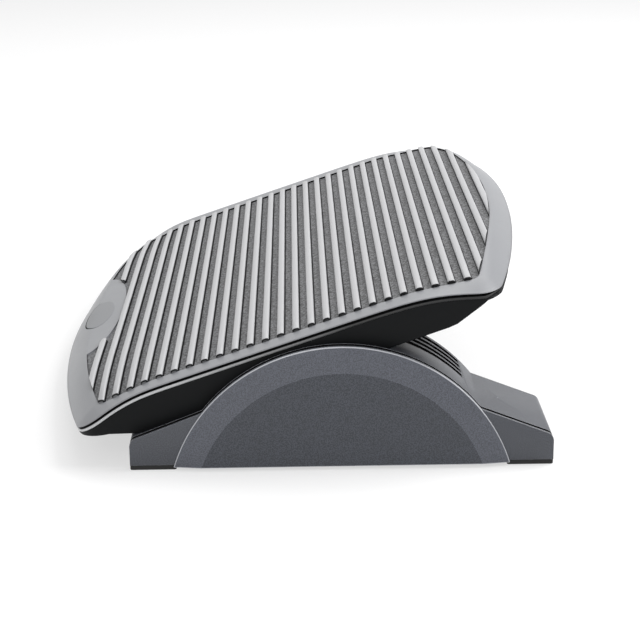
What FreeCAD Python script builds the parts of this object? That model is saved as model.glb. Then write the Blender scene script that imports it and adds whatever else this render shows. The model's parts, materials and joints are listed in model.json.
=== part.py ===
# Tilting under desk footrest, in millimetres, +Z up.
# A ribbed platform rides on two arched side units and rocks over them about the axis of
# their arcs, which lies below the floor. +Y is the toe side, -Y the heel side and +X the
# user's right. The heel edge is down, against the stop. The origin is on the floor, under
# the middle of the box round the whole footrest.
import FreeCAD, Part
import math
import os

from FreeCAD import Placement, Rotation, Vector

# Side units, seen from the side
arc_radius = 114.0
arc_top = 82.3
toe_reach = 137.0
toe_slope = 21.2
toe_shoulder = 20.3
toe_corner = 6.0
least_corner = 0.5
foot_height = 3.5
foot_length = 30.0
foot_edge_inset = 0.5
foot_corner_radius = 1.5

# Side units, across the footrest, from the pod's edge inwards
pod_edge_x = 232.2
pod_edge_thickness = 1.2
pod_bulge = 2.5
pod_ring_width = 17.0
pod_floor_gap = 2.0
cover_thickness = 2.0
skirt_gap = 3.8
band_width = 26.4
slot_count = 4
slot_width = 6.8
ridge_width = 3.0
last_ridge_width = 2.0
inner_cover_thickness = 2.2
housing_wall = 2.5
crown_wall = 3.0
ridge_depth = 12.0
slot_half_angle = 45.0
crown_half_angle = 49.0
spacer_radius = 92.0
spacer_dip = 2.0
base_plate_thickness = 2.5
fitting_gap = 0.3

# Cross tubes that join the two side units
tube_radius = 8.0
tube_wall = 1.5
tube_offset = 55.0
tube_height = 22.0
sleeve_wall = 2.5
sleeve_length = 20.0
tube_fit = 0.05
pin_radius = 1.5
pin_inset = 10.0

# Platform, in its own frame: the arc's axis is its origin, and Z is square to the tread
tilt_limit = 18.6
rim_height = 120.8
plate_thickness = 4.0
pocket_depth = 1.5
platform_half_width = 228.4
platform_half_depth = 174.2
heel_edge_radius = 725.0
toe_edge_radius = 750.0
heel_corner_radius = 24.0
toe_corner_radius = 28.0

# How the rim rolls down towards its edges
heel_drop = 9.5
toe_drop = 11.0
side_drop = 0.8
heel_roll_start = 27.0
toe_roll_start = 75.0
roll_end = 155.0
rim_step = 0.1
roll_shares = [-0.25, 0.5, 1.25]
side_stations = 8
corner_stations = 5
end_stations = 8
rim_margin = 2.0

# Ribbed field
rib_pitch = 10.48
ribs_to_heel = 13
ribs_to_toe = 14
rib_base_width = 5.8
rib_top_width = 4.6
rib_proud = 1.6
rib_end_run = 2.0
rib_root = 1.0
rib_end_gap = 0.8
field_half_width = 209.0
field_heel = 139.5
field_toe = 152.7
field_heel_radius = 1400.0
field_toe_radius = 756.0
field_corner_radius = 18.0

# Oval badge, left bare, on a smooth pad
badge_half_length = 34.0
badge_half_width = 12.0
badge_place = 148.0
badge_depth = 1.6
badge_sunk = 0.4
badge_gap = 0.25
badge_seat_gap = 0.05
pad_half_length = 74.0
pad_half_width = 18.5

# Skirt frame under the tread
skirt_half_width = 228.2
skirt_wall = 2.0
skirt_height = 94.8
skirt_break_height = 105.5
skirt_heel = 103.5
skirt_toe = 110.0
skirt_edge_radius = 4000.0
skirt_corner_radius = 6.0
groove_height = 1.2
groove_depth = 1.0
web_thickness = 2.4
web_height = 98.0
long_web_x = 150.0
cross_web_y = 80.0
cup_count = 3
cup_spread = 200.0
cup_radius = 6.0
post_radius = 3.6
post_length = 10.0
post_gap = 0.15

# Hangers and glide shoes
running_gap = 0.4
saddle_half_length = 46.0
web_side_gap = 0.6
web_half_angle = 25.5
shoe_half_angle = 25.0
shoe_thickness = 4.5
shoe_seat_gap = 0.1
bumper_gap = 0.3
bumper_thickness = 4.5

# Screws
screw_radius = 1.6
screw_head_radius = 3.2
screw_head_height = 1.6
screw_gap = 0.1
hanger_screw_y = 38.0
hanger_screw_length = 10.0
shoe_screw_angle = 15.0
shoe_screw_length = 12.0
frame_screw_length = 10.0
base_screw_length = 14.0
toe_post_inset = 37.0
wall_post_y = 48.0
wall_post_top = 34.0
base_post_radius = 4.5
base_post_sink = 0.8
cover_screw_length = 8.0
cover_screw_y = 66.0
cover_screw_z = 22.0

# Worked out from the sizes above
pivot_z = arc_top - arc_radius
cover_out_x = pod_edge_x - pod_edge_thickness
cover_in_x = cover_out_x - cover_thickness
housing_out_x = cover_in_x - skirt_gap
slots_out_x = housing_out_x - band_width
slot_pitch = slot_width + ridge_width
slots_in_x = slots_out_x - slot_count * slot_pitch + ridge_width
housing_in_x = slots_in_x - last_ridge_width
unit_in_x = housing_in_x - inner_cover_thickness
ridge_radius = arc_radius - ridge_depth
slot_edges = [slots_out_x - number * slot_pitch for number in range(slot_count)]
slot_middles = [edge - slot_width / 2 for edge in slot_edges]
shoe_out_x = slots_out_x + ridge_width
shoe_in_x = housing_in_x + fitting_gap
shoe_outer_radius = ridge_radius - running_gap
shoe_inner_radius = shoe_outer_radius - shoe_thickness
under_height = rim_height - plate_thickness
deep = 60.0
over = 1.0
toe_post_y = toe_reach - toe_post_inset


def box(x_low, x_high, y_low, y_high, z_low, z_high):
    corner = Vector(x_low, y_low, z_low)
    return Part.makeBox(x_high - x_low, y_high - y_low, z_high - z_low, corner)


def rod(radius, start, end):
    along = end - start
    return Part.makeCylinder(radius, along.Length, start, along)


def prism(edges, along):
    face = Part.Face(Part.Wire(edges))
    return face.extrude(along)


def polygon_prism(points, along):
    return prism(Part.makePolygon(points + points[:1]).Edges, along)


def fillet_where(solid, radius, wanted):
    edges = [edge for edge in solid.Edges if wanted(edge)]
    return solid.makeFillet(radius, edges)


def on_arc(radius, degrees, x=0.0, centre_z=0.0):
    angle = math.radians(degrees)
    return Vector(x, radius * math.sin(angle), centre_z + radius * math.cos(angle))


def sector(inner, outer, start, end, x_low, x_high, centre_z=0.0):
    """An arched bar: a ring sector about the arc's axis, from x_low to x_high."""
    middle = (start + end) / 2

    def place(radius, degrees):
        return on_arc(radius, degrees, x_low, centre_z)

    edges = [
        Part.Arc(place(outer, start), place(outer, middle), place(outer, end)).toShape(),
        Part.LineSegment(place(outer, end), place(inner, end)).toShape(),
        Part.Arc(place(inner, end), place(inner, middle), place(inner, start)).toShape(),
        Part.LineSegment(place(inner, start), place(outer, start)).toShape(),
    ]
    return prism(edges, Vector(x_high - x_low, 0, 0))


def screw(head, tip):
    """A pan head screw from the underside of its head to its tip."""
    along = (tip - head).normalize()
    shank = rod(screw_radius, head, tip)
    top = rod(screw_head_radius, head - along * screw_head_height, head)
    return shank.fuse(top).removeSplitter()


def screw_hole(head, tip):
    return rod(screw_radius + screw_gap, head, tip + (tip - head).normalize() * screw_gap)


# Side units

def toe_line(y, inset):
    slope = math.radians(toe_slope)
    return toe_shoulder + (toe_reach - abs(y)) * math.tan(slope) - inset / math.cos(slope)


def toe_line_radius():
    """How near the toe's sloping top, run on inwards, passes to the arc's axis."""
    return (toe_line(0, 0) - pivot_z) * math.cos(math.radians(toe_slope))


def toe_meets_arc(inset, radius):
    """The Y at which the toe's sloping top runs into the arc."""
    rise = math.tan(math.radians(toe_slope))
    level = toe_line(0, inset) - pivot_z
    a = 1 + rise ** 2
    b = -2 * rise * level
    c = level ** 2 - radius ** 2
    return (-b + math.sqrt(b ** 2 - 4 * a * c)) / (2 * a)


def side_profile(x_low, x_high, inset, drum_inset, z_low):
    """The side outline of a unit, with an arc between two sloping toes."""
    radius = arc_radius - drum_inset
    end = toe_reach - inset
    meet = toe_meets_arc(inset, radius)
    corner_z = toe_line(end, inset)
    meet_z = toe_line(meet, inset)
    left = [Vector(x_low, -end, z_low), Vector(x_low, -end, corner_z), Vector(x_low, -meet, meet_z)]
    right = [Vector(x_low, -point.y, point.z) for point in reversed(left)]
    crest = Vector(x_low, 0, pivot_z + radius)
    edges = [
        Part.LineSegment(left[0], left[1]).toShape(),
        Part.LineSegment(left[1], left[2]).toShape(),
        Part.Arc(left[2], crest, right[0]).toShape(),
        Part.LineSegment(right[0], right[1]).toShape(),
        Part.LineSegment(right[1], right[2]).toShape(),
        Part.LineSegment(right[2], left[0]).toShape(),
    ]
    solid = prism(edges, Vector(x_high - x_low, 0, 0))
    corner = max(toe_corner - inset, least_corner)

    def at_corner(edge):
        middle = edge.CenterOfMass
        at_end = abs(abs(middle.y) - end) < 0.01
        return at_end and abs(middle.z - corner_z) < 0.01

    return fillet_where(solid, corner, at_corner)


def base_screw_places():
    middle_x = (housing_in_x + housing_out_x) / 2
    wall_x = housing_out_x - housing_wall - base_post_radius + base_post_sink
    places = []
    for side in (-1, 1):
        places.append((middle_x, side * toe_post_y))
        places.append((wall_x, side * wall_post_y))
    return places


def base_screw_ends(place):
    x, y = place
    return Vector(x, y, foot_height), Vector(x, y, foot_height + base_screw_length)


def cover_screw_ends(side):
    head = Vector(housing_out_x - housing_wall, side * cover_screw_y, cover_screw_z)
    return head, head + Vector(cover_screw_length, 0, 0)


def bumper_angles():
    start = tilt_limit + shoe_half_angle + math.degrees(bumper_gap / shoe_outer_radius)
    return start, start + math.degrees(bumper_thickness / shoe_outer_radius)


def drum_housing():
    """The arched housing: slotted crown, plain band, outer wall and hollow toes."""
    outer = side_profile(housing_in_x, housing_out_x, 0, 0, foot_height)
    cavity = side_profile(housing_in_x - over, housing_out_x - housing_wall, housing_wall,
                          crown_wall, foot_height - over)
    shell = outer.cut(cavity)
    thick_to = slots_out_x + ridge_width
    crown = sector(ridge_radius, arc_radius - crown_wall / 2, -crown_half_angle,
                   crown_half_angle, housing_in_x, thick_to, pivot_z)
    rib_start = bumper_angles()[1]
    ribs = [sector(shoe_inner_radius, ridge_radius + over, side * rib_start,
                   side * crown_half_angle, housing_in_x, thick_to, pivot_z)
            for side in (-1, 1)]
    base_top = foot_height + base_plate_thickness
    posts = []
    for x, y in base_screw_places():
        top = wall_post_top if abs(y) < toe_post_y else toe_line(y, housing_wall / 2)
        posts.append(rod(base_post_radius, Vector(x, y, base_top), Vector(x, y, top)))
    shell = shell.fuse([crown] + ribs + posts).removeSplitter()
    cuts = [sector(ridge_radius - over, arc_radius + over, -slot_half_angle, slot_half_angle,
                   edge - slot_width, edge, pivot_z) for edge in slot_edges]
    cuts += [screw_hole(*base_screw_ends(place)) for place in base_screw_places()]
    cuts += [screw_hole(*cover_screw_ends(side)) for side in (-1, 1)]
    return shell.cut(cuts)


def side_cover():
    """The outer cover, which stands off the housing so that the skirt can dip between."""
    plate = side_profile(cover_in_x, cover_out_x, 0, 0, foot_height)
    spacer_inset = toe_line_radius() - spacer_radius + spacer_dip
    spacer = side_profile(housing_out_x, cover_in_x, spacer_inset, arc_radius - spacer_radius,
                          foot_height)
    cover = plate.fuse(spacer).removeSplitter()
    return cover.cut([screw_hole(*cover_screw_ends(side)) for side in (-1, 1)])


def pod_cap():
    """The arched cap: a flat face inside a sloping ring."""
    face_x = pod_edge_x + pod_bulge
    profile = [
        Vector(cover_out_x, 0, pivot_z),
        Vector(face_x, 0, pivot_z),
        Vector(face_x, 0, arc_top - pod_ring_width),
        Vector(pod_edge_x, 0, arc_top),
        Vector(cover_out_x, 0, arc_top),
    ]
    outline = Part.Face(Part.makePolygon(profile + profile[:1]))
    disc = outline.revolve(Vector(0, 0, pivot_z), Vector(1, 0, 0), 360)
    reach = 2 * arc_radius
    below = box(cover_out_x - over, face_x + over, -reach, reach, -reach, pod_floor_gap)
    return disc.cut(below)


def inner_cover():
    """The inboard cover, with the two sleeves that hold the cross tubes."""
    plate = side_profile(unit_in_x, housing_in_x, 0, 0, foot_height)
    cover = plate
    for side in (-1, 1):
        start = Vector(unit_in_x, side * tube_offset, tube_height)
        end = start + Vector(inner_cover_thickness + sleeve_length, 0, 0)
        cover = cover.fuse(rod(tube_radius + sleeve_wall, start, end))
    cover = cover.removeSplitter()
    for side in (-1, 1):
        start = Vector(unit_in_x - over, side * tube_offset, tube_height)
        end = start + Vector(inner_cover_thickness + sleeve_length + 2 * over, 0, 0)
        cover = cover.cut(rod(tube_radius + tube_fit, start, end))
        cover = cover.cut(pin_rod(side, tube_fit))
    return cover


def pin_rod(side, gap):
    x = housing_in_x + pin_inset
    reach = tube_radius + sleeve_wall
    low = Vector(x, side * tube_offset, tube_height - reach)
    high = Vector(x, side * tube_offset, tube_height + reach)
    return rod(pin_radius + gap, low, high)


def base_plate():
    base_top = foot_height + base_plate_thickness
    reach = toe_reach - housing_wall - fitting_gap
    plate = box(housing_in_x, housing_out_x - housing_wall - fitting_gap, -reach, reach,
                foot_height, base_top)
    return plate.cut([screw_hole(*base_screw_ends(place)) for place in base_screw_places()])


def foot(side):
    outer = side * toe_reach
    inner = side * (toe_reach - foot_length)
    strip = box(unit_in_x, cover_out_x - foot_edge_inset, min(outer, inner), max(outer, inner),
                0, foot_height)
    return fillet_where(strip, foot_corner_radius,
                        lambda edge: edge.BoundBox.ZLength > foot_height / 2)


def bumper(side):
    start, end = bumper_angles()
    return sector(shoe_inner_radius, shoe_outer_radius, side * start, side * end,
                  shoe_in_x, shoe_out_x - fitting_gap, pivot_z)


def cross_tube(side):
    reach = housing_in_x + sleeve_length
    start = Vector(-reach, side * tube_offset, tube_height)
    end = Vector(reach, side * tube_offset, tube_height)
    tube = rod(tube_radius, start, end).cut(rod(tube_radius - tube_wall, start, end))
    return tube.cut([pin_rod(side, tube_fit), turned(pin_rod(-side, tube_fit))])


# Platform

def outline(half_width, heel, toe, heel_radius, toe_radius, heel_corner, toe_corner_r, z):
    """Edges with straight sides, bowed heel and toe ends and round corners."""
    def end_points(reach, radius, corner):
        centre_y = reach - radius
        corner_x = half_width - corner
        corner_y = centre_y + math.sqrt((radius - corner) ** 2 - corner_x ** 2)
        lean = math.atan2(corner_y - centre_y, corner_x)
        middle = lean / 2
        side_point = (half_width, corner_y)
        mid_point = (corner_x + corner * math.cos(middle), corner_y + corner * math.sin(middle))
        arc_point = (radius * math.cos(lean), centre_y + radius * math.sin(lean))
        return side_point, mid_point, arc_point, (0, reach)

    def place(point, x_sign, y_sign):
        return Vector(x_sign * point[0], y_sign * point[1], z)

    heel_side, heel_mid, heel_arc, heel_tip = end_points(heel, heel_radius, heel_corner)
    toe_side, toe_mid, toe_arc, toe_tip = end_points(toe, toe_radius, toe_corner_r)
    right_heel = [place(point, 1, -1) for point in (heel_side, heel_mid, heel_arc)]
    left_heel = [place(point, -1, -1) for point in (heel_side, heel_mid, heel_arc)]
    right_toe = [place(point, 1, 1) for point in (toe_side, toe_mid, toe_arc)]
    left_toe = [place(point, -1, 1) for point in (toe_side, toe_mid, toe_arc)]
    return [
        Part.LineSegment(right_toe[0], right_heel[0]).toShape(),
        Part.Arc(*right_heel).toShape(),
        Part.Arc(right_heel[2], place(heel_tip, 1, -1), left_heel[2]).toShape(),
        Part.Arc(left_heel[2], left_heel[1], left_heel[0]).toShape(),
        Part.LineSegment(left_heel[0], left_toe[0]).toShape(),
        Part.Arc(*left_toe).toShape(),
        Part.Arc(left_toe[2], place(toe_tip, 1, 1), right_toe[2]).toShape(),
        Part.Arc(right_toe[2], right_toe[1], right_toe[0]).toShape(),
    ]


def rim_outline(inset, z):
    return outline(platform_half_width - inset, platform_half_depth - inset,
                   platform_half_depth - inset, heel_edge_radius - inset,
                   toe_edge_radius - inset, heel_corner_radius - inset,
                   toe_corner_radius - inset, z)


def skirt_foot_outline(inset, z):
    return outline(skirt_half_width - inset, skirt_heel - inset, skirt_toe - inset,
                   skirt_edge_radius - inset, skirt_edge_radius - inset,
                   skirt_corner_radius - inset, skirt_corner_radius - inset, z)


def field_outline(z):
    return outline(field_half_width, field_heel, field_toe, field_heel_radius,
                   field_toe_radius, field_corner_radius, field_corner_radius, z)


def standing(edges, height):
    return prism(edges, Vector(0, 0, height))


def edge_drop(y):
    """How far the rim's outer edge lies below the flat tread at this Y."""
    start = heel_roll_start if y < 0 else toe_roll_start
    share = min(max((abs(y) - start) / (roll_end - start), 0), 1)
    full = heel_drop if y < 0 else toe_drop
    return side_drop + (full - side_drop) * share ** 2 * (3 - 2 * share)


def rolled_rim(side):
    """One half of the rim's rolled surface, reaching a little past all its edges."""
    stations = [side_stations, corner_stations, end_stations, corner_stations] * 2
    rows = []
    for near, far, count in zip(field_outline(rim_height), rim_outline(0, rim_height), stations):
        for step in range(count):
            start = near.valueAt(near.LastParameter * step / count)
            end = far.valueAt(far.LastParameter * step / count)
            row = []
            for share in roll_shares:
                place = start + (end - start) * share
                drop = rim_step + edge_drop(end.y) * share ** 2
                row.append(Vector(side * place.x, place.y, place.z - drop))
            rows.append(row)
    toe_middle = len(rows) - corner_stations - end_stations // 2
    heel_middle = side_stations + corner_stations + end_stations // 2
    surface = Part.BSplineSurface()
    surface.interpolate(rows[toe_middle - 1:] + rows[:heel_middle + 2])
    return surface.toShape()


def cap(offset):
    """The space above the tread's surface moved by the offset: the middle, then the rim."""
    reach = 2 * platform_half_width
    low = skirt_height
    rim = standing(rim_outline(-rim_margin, low), deep)
    rim = rim.cut(standing(field_outline(low - over), deep + 2 * over))
    parts = [standing(field_outline(rim_height + offset), deep)]
    for side, face in rim_faces.items():
        half = box(min(side * reach, 0), max(side * reach, 0), -reach, reach, low, low + deep)
        rolled = face.copy()
        rolled.translate(Vector(0, 0, offset))
        parts.append(rim.common(half).common(rolled.extrude(Vector(0, 0, deep))))
    return parts


def ellipse_prism(half_length, half_width, z_low, z_high):
    centre = Vector(0, -badge_place, z_low)
    ellipse = Part.Ellipse(centre, half_length, half_width).toShape()
    return standing([ellipse], z_high - z_low)


def field_reach(y):
    """Half the length of the ribbed field at this Y."""
    if y < 0:
        left_over = field_heel - abs(y)
        radius = field_heel_radius
    else:
        left_over = field_toe - y
        radius = field_toe_radius
    bowed = math.sqrt(max(2 * radius * left_over - left_over ** 2, 0))
    corner = field_corner_radius
    corner_y = left_over - (field_half_width - corner) ** 2 / (2 * radius)
    side = field_half_width
    if corner_y < corner:
        rest = corner - max(corner_y, 0)
        side = field_half_width - corner + math.sqrt(corner ** 2 - rest ** 2)
    return min(bowed, side)


def pad_reach(y):
    """Half the width of the smooth pad round the badge at this Y."""
    share = (y + badge_place) / pad_half_width
    if abs(share) >= 1:
        return 0
    return pad_half_length * math.sqrt(1 - share ** 2)


def rib(y, x_low, x_high):
    """One rib with drafted flanks and sloping ends, rooted in the pocket's floor."""
    floor = rim_height - pocket_depth
    top = rim_height + rib_proud
    low = Vector(x_low, y - rib_base_width / 2, floor - rib_root)
    half_low = rib_base_width / 2
    half_top = rib_top_width / 2
    section = [Vector(x_low, y - half_low, floor - rib_root),
               Vector(x_low, y + half_low, floor - rib_root),
               Vector(x_low, y + half_low, floor),
               Vector(x_low, y + half_top, top),
               Vector(x_low, y - half_top, top),
               Vector(x_low, y - half_low, floor)]
    bar = polygon_prism(section, Vector(x_high - x_low, 0, 0))
    side = [low,
            Vector(x_high, low.y, low.z),
            Vector(x_high, low.y, floor),
            Vector(x_high - rib_end_run, low.y, top),
            Vector(x_low + rib_end_run, low.y, top),
            Vector(x_low, low.y, floor)]
    return bar.common(polygon_prism(side, Vector(0, rib_base_width, 0)))


def ribs():
    bars = []
    for number in range(-ribs_to_heel, ribs_to_toe + 1):
        y = number * rib_pitch
        half = rib_base_width / 2
        outer = y - half if y < 0 else y + half
        reach = field_reach(outer) - rib_end_gap
        gap = max(pad_reach(y - half), pad_reach(y + half))
        if gap > 0:
            bars.append(rib(y, -reach, -gap - rib_end_gap))
            bars.append(rib(y, gap + rib_end_gap, reach))
        else:
            bars.append(rib(y, -reach, reach))
    return bars


def post_places():
    places = []
    for side in (-1, 1):
        for number in range(cup_count):
            x = cup_spread * (number / (cup_count - 1) - 0.5)
            places.append((x, side * cross_web_y))
    return places


def frame_screw_ends(place):
    x, y = place
    head = Vector(x, y, web_height)
    return head, head + Vector(0, 0, frame_screw_length)


def hanger_screw_places():
    return [(x, side * hanger_screw_y) for x in (slot_middles[0], slot_middles[-1])
            for side in (-1, 1)]


def hanger_screw_ends(place):
    x, y = place
    tip = Vector(x, y, rim_height - pocket_depth - over)
    return tip - Vector(0, 0, hanger_screw_length), tip


def tread_plate():
    """The ribbed tread: a rolled plate with a recessed field, ribs and screw posts."""
    blank = standing(rim_outline(0, skirt_height), deep)
    ring = [blank.common(part).cut(cap(0)[1:]) for part in cap(-plate_thickness)[1:]]
    slab = standing(field_outline(under_height), plate_thickness - pocket_depth)
    pad = ellipse_prism(pad_half_length, pad_half_width, under_height, rim_height)
    pad = pad.common(standing(field_outline(under_height), plate_thickness))
    plate = slab.fuse(ring + [pad]).removeSplitter()
    recess = ellipse_prism(badge_half_length, badge_half_width, under_height - heel_drop,
                           rim_height + over)
    plate = plate.cut([recess.common(part) for part in cap(-badge_depth)])
    posts = []
    for x, y in post_places():
        start = Vector(x, y, under_height - post_length)
        posts.append(rod(post_radius, start, Vector(x, y, under_height + over)))
    plate = plate.fuse(ribs() + posts)
    holes = [screw_hole(*frame_screw_ends(place)) for place in post_places()]
    for place in hanger_screw_places():
        holes.append(screw_hole(*hanger_screw_ends(place)))
        holes.append(turned(holes[-1]))
    return plate.cut(holes)


def badge_insert():
    blank = ellipse_prism(badge_half_length - badge_gap, badge_half_width - badge_gap,
                          under_height - heel_drop, rim_height + over)
    pieces = [blank.common(part) for part in cap(badge_seat_gap - badge_depth)]
    return pieces[0].fuse(pieces[1:]).cut(cap(-badge_sunk)).removeSplitter()


def skirt_body(inset, rise):
    """A closed body inside the skirt's outer faces, up to the tread's height."""
    foot_z = skirt_height + rise
    break_z = skirt_break_height + rise
    top = standing(rim_outline(inset, break_z), rim_height - break_z)
    lower = Part.makeLoft([Part.Wire(skirt_foot_outline(inset, foot_z)),
                           Part.Wire(rim_outline(inset, break_z))], True, True)
    return top.fuse(lower)


def platform_frame():
    """The skirt frame, open below, with webs and screw cups under the tread."""
    edge = platform_half_width - skirt_half_width
    outer = skirt_body(edge, 0).cut(cap(-plate_thickness - groove_height))
    lip = standing(rim_outline(edge + groove_depth, skirt_break_height),
                   rim_height - skirt_break_height).cut(cap(-plate_thickness))
    inner = skirt_body(edge + skirt_wall, skirt_wall)
    open_foot = standing(skirt_foot_outline(edge + skirt_wall, skirt_height - over),
                         skirt_wall + 2 * over)
    skirt = outer.fuse(lip).cut(inner.fuse(open_foot))
    webs = [box(side * long_web_x - web_thickness / 2, side * long_web_x + web_thickness / 2,
                -platform_half_depth, platform_half_depth, web_height, rim_height)
            for side in (-1, 1)]
    webs += [box(-long_web_x, long_web_x, side * cross_web_y - web_thickness / 2,
                 side * cross_web_y + web_thickness / 2, web_height, rim_height)
             for side in (-1, 1)]
    for x, y in post_places():
        webs.append(rod(cup_radius, Vector(x, y, web_height), Vector(x, y, rim_height)))
    grid = webs[0].fuse(webs[1:]).common(inner).cut(cap(-plate_thickness))
    frame = skirt.fuse(grid)
    cuts = []
    for place in post_places():
        x, y = place
        start = Vector(x, y, under_height - post_length - post_gap)
        cuts.append(rod(post_radius + post_gap, start, Vector(x, y, rim_height)))
        cuts.append(screw_hole(*frame_screw_ends(place)))
    return frame.cut(cuts)


def saddle():
    """The block between the flat underside of the tread and the drum's crown."""
    radius = arc_radius + running_gap
    half = saddle_half_length
    foot_z = math.sqrt(radius ** 2 - half ** 2)
    x = shoe_in_x
    edges = [
        Part.LineSegment(Vector(x, -half, under_height), Vector(x, half, under_height)).toShape(),
        Part.LineSegment(Vector(x, half, under_height), Vector(x, half, foot_z)).toShape(),
        Part.Arc(Vector(x, half, foot_z), Vector(x, 0, radius), Vector(x, -half, foot_z)).toShape(),
        Part.LineSegment(Vector(x, -half, foot_z), Vector(x, -half, under_height)).toShape(),
    ]
    return prism(edges, Vector(shoe_out_x - shoe_in_x, 0, 0))


def shoe_screw_ends(x, degrees):
    head = on_arc(shoe_inner_radius - screw_gap, degrees, x)
    return head, on_arc(shoe_inner_radius + shoe_screw_length, degrees, x)


def shoe_screw_places():
    return [(x, side * shoe_screw_angle) for x in (slot_middles[0], slot_middles[-1])
            for side in (-1, 1)]


def hanger():
    """The comb: a saddle with one curved web for each slot of the drum."""
    comb = saddle()
    webs = []
    for edge in slot_edges:
        webs.append(sector(shoe_outer_radius + shoe_seat_gap, arc_radius + 2 * running_gap,
                           -web_half_angle, web_half_angle, edge - slot_width + web_side_gap,
                           edge - web_side_gap))
    comb = comb.fuse(webs).removeSplitter()
    cuts = [screw_hole(*shoe_screw_ends(x, degrees)) for x, degrees in shoe_screw_places()]
    for place in hanger_screw_places():
        head, tip = hanger_screw_ends(place)
        cuts.append(screw_hole(head, tip))
        cuts.append(rod(screw_head_radius + screw_gap, head - Vector(0, 0, deep), head))
    return comb.cut(cuts)


def glide_shoe():
    plate = sector(shoe_inner_radius, shoe_outer_radius, -shoe_half_angle, shoe_half_angle,
                   shoe_in_x, shoe_out_x - fitting_gap)
    return plate.cut([screw_hole(*shoe_screw_ends(x, degrees))
                      for x, degrees in shoe_screw_places()])


# Placing and writing

def turned(shape):
    """A right-hand piece turned half round, which is its left-hand twin."""
    twin = shape.copy()
    twin.rotate(Vector(0, 0, 0), Vector(0, 0, 1), 180)
    return twin


def both_sides(shapes):
    return Part.makeCompound(shapes + [turned(shape) for shape in shapes])


def tilted(shape):
    tilt = Placement(Vector(0, 0, pivot_z), Rotation(Vector(1, 0, 0), tilt_limit))
    placed = shape.copy()
    placed.Placement = tilt.multiply(placed.Placement)
    return placed


def base_nodes():
    nodes = {}
    for name, shape in {"drum_housing": drum_housing(), "side_cover": side_cover(),
                        "pod_cap": pod_cap(), "inner_cover": inner_cover(),
                        "base_plate": base_plate()}.items():
        nodes[name + "_right"] = shape
        nodes[name + "_left"] = turned(shape)
    for end, side in (("heel", -1), ("toe", 1)):
        nodes[end + "_foot_right"] = foot(side)
        nodes[end + "_foot_left"] = turned(foot(-side))
        nodes[end + "_bumper_right"] = bumper(side)
        nodes[end + "_bumper_left"] = turned(bumper(-side))
        nodes[end + "_cross_tube"] = cross_tube(side)
    nodes["cross_tube_pins"] = both_sides([pin_rod(side, 0) for side in (-1, 1)])
    nodes["base_screws"] = both_sides([screw(*base_screw_ends(place))
                                       for place in base_screw_places()])
    nodes["cover_screws"] = both_sides([screw(*cover_screw_ends(side)) for side in (-1, 1)])
    return nodes


def platform_nodes():
    nodes = {"tread_plate": tread_plate(), "badge_insert": badge_insert(),
             "platform_frame": platform_frame()}
    for name, shape in {"hanger": hanger(), "glide_shoe": glide_shoe()}.items():
        nodes[name + "_right"] = shape
        nodes[name + "_left"] = turned(shape)
    nodes["hanger_screws"] = both_sides([screw(*hanger_screw_ends(place))
                                         for place in hanger_screw_places()])
    nodes["shoe_screws"] = both_sides([screw(*shoe_screw_ends(x, degrees))
                                       for x, degrees in shoe_screw_places()])
    nodes["frame_screws"] = Part.makeCompound([screw(*frame_screw_ends(place))
                                               for place in post_places()])
    return {name: tilted(shape) for name, shape in nodes.items()}


rim_faces = {side: rolled_rim(side) for side in (-1, 1)}
nodes = base_nodes()
nodes.update(platform_nodes())
heel_end = nodes["tread_plate"].optimalBoundingBox(False).YMin
shift = Vector(0, -(heel_end + toe_reach) / 2, 0)
os.makedirs("parts", exist_ok=True)
for name, shape in nodes.items():
    placed = shape.copy()
    placed.translate(shift)
    placed.exportStep("parts/" + name + ".step")
print("pivot", round(shift.y, 4), round(pivot_z, 4))
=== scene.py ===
"""Tilting under desk footrest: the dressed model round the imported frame.

Lengths in the classes are in metres, and angles in degrees. The platform's pieces are modelled
in the platform's own frame, whose origin is the axis of the side units' arcs and whose Z is
square to the tread, and are then tilted into place.
"""
from __future__ import annotations

import json
import logging
import math
from dataclasses import dataclass, field
from enum import Enum, IntEnum

import bmesh
import bpy
from mathutils import Matrix, Vector

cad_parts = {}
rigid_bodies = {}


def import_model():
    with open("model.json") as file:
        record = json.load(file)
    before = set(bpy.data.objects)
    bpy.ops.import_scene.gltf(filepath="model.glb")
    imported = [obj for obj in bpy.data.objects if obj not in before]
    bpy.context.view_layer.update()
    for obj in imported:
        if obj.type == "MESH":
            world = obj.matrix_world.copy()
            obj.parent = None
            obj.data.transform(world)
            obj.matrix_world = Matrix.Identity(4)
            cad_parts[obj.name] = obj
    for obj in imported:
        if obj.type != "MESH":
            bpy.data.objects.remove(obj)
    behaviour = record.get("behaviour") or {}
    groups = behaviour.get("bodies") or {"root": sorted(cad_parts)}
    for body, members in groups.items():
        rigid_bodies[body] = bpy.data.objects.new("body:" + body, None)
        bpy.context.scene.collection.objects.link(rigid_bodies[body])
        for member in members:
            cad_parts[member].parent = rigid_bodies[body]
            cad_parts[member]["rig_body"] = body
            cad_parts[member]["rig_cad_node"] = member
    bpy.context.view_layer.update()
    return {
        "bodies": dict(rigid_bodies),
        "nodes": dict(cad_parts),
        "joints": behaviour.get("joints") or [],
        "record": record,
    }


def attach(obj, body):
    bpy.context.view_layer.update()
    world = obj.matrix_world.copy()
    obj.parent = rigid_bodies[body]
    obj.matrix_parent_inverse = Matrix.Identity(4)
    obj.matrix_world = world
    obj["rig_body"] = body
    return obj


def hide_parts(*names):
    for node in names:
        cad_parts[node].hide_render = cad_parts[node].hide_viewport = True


LOG = logging.getLogger("footrest")
MERGE_GAP = 0.000002
HAIR = 0.00001
Colour = tuple[float, float, float]
Place = tuple[float, float, float]


class Body(Enum):
    """The two bodies of the footrest."""

    BASE = "base"
    PLATFORM = "platform"


class Side(Enum):
    """The two sides, as the names of the nodes end."""

    RIGHT = "right"
    LEFT = "left"


class Surface(Enum):
    """The relief of a moulding's surface."""

    SATIN = "satin"
    STIPPLE = "stipple"


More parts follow.
